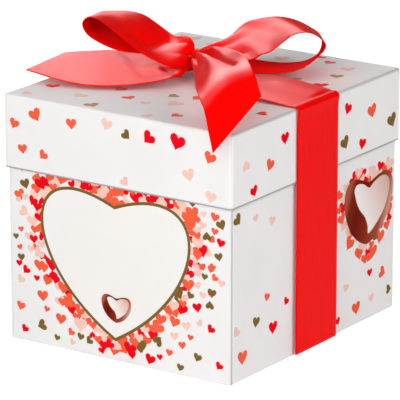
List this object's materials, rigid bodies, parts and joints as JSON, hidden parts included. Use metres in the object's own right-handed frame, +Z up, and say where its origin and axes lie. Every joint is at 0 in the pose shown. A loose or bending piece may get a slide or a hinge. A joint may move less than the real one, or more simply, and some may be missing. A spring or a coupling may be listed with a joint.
{
  "type": "gift box",
  "caption": "Cube-shaped carton for chocolates with a lift-off lid over trays of heart pralines, tied over the lid and sides with a satin ribbon and a two-loop bow.",
  "frame": {"origin": "middle of the base carton's underside", "axes": "+Z up, the printed front faces -Y, the ribbon side seen beside it faces +X"},
  "size_m": [0.0939, 0.1131, 0.105],
  "materials": {
    "printed_board": "white coated board, semi-matt, printed with small hearts",
    "divider_card": "uncoated cream card",
    "tray_film": "thin formed film, gold brown",
    "milk_chocolate": "moulded milk chocolate with a soft gloss",
    "red_satin": "double-faced satin with a pale sheen"
  },
  "bodies": {
    "base": {"base_carton": "printed_board", "tray_1": "tray_film", "tray_2": "tray_film", "tray_3": "tray_film", "tier_card_1": "divider_card", "tier_card_2": "divider_card", "praline_1_1": "milk_chocolate", "praline_1_2": "milk_chocolate", "praline_1_3": "milk_chocolate", "praline_1_4": "milk_chocolate", "praline_1_5": "milk_chocolate", "praline_1_6": "milk_chocolate", "praline_1_7": "milk_chocolate", "praline_1_8": "milk_chocolate", "praline_1_9": "milk_chocolate", "praline_2_1": "milk_chocolate", "praline_2_2": "milk_chocolate", "praline_2_3": "milk_chocolate", "praline_2_4": "milk_chocolate", "praline_2_5": "milk_chocolate", "praline_2_6": "milk_chocolate", "praline_2_7": "milk_chocolate", "praline_2_8": "milk_chocolate", "praline_2_9": "milk_chocolate", "praline_3_1": "milk_chocolate", "praline_3_2": "milk_chocolate", "praline_3_3": "milk_chocolate", "praline_3_4": "milk_chocolate", "praline_3_5": "milk_chocolate", "praline_3_6": "milk_chocolate", "praline_3_7": "milk_chocolate", "praline_3_8": "milk_chocolate", "praline_3_9": "milk_chocolate"},
    "lid": {"lid_carton": "printed_board"},
    "ribbon": {"ribbon_run_left": "red_satin", "ribbon_run_right": "red_satin", "ribbon_leg_left": "red_satin", "ribbon_leg_right": "red_satin", "bow_left_loop": "red_satin", "bow_right_loop": "red_satin", "bow_front_tail": "red_satin", "bow_left_tail": "red_satin", "bow_knot": "red_satin"}
  },
  "joints": [
    {"name": "lid_lift", "type": "slide", "parent": "base", "child": "lid", "axis": [0, 0, 1], "range_m": [0, 0.09]},
    {"name": "ribbon_off", "type": "slide", "parent": "lid", "child": "ribbon", "axis": [0, 0, 1], "range_m": [0, 0.09]}
  ]
}
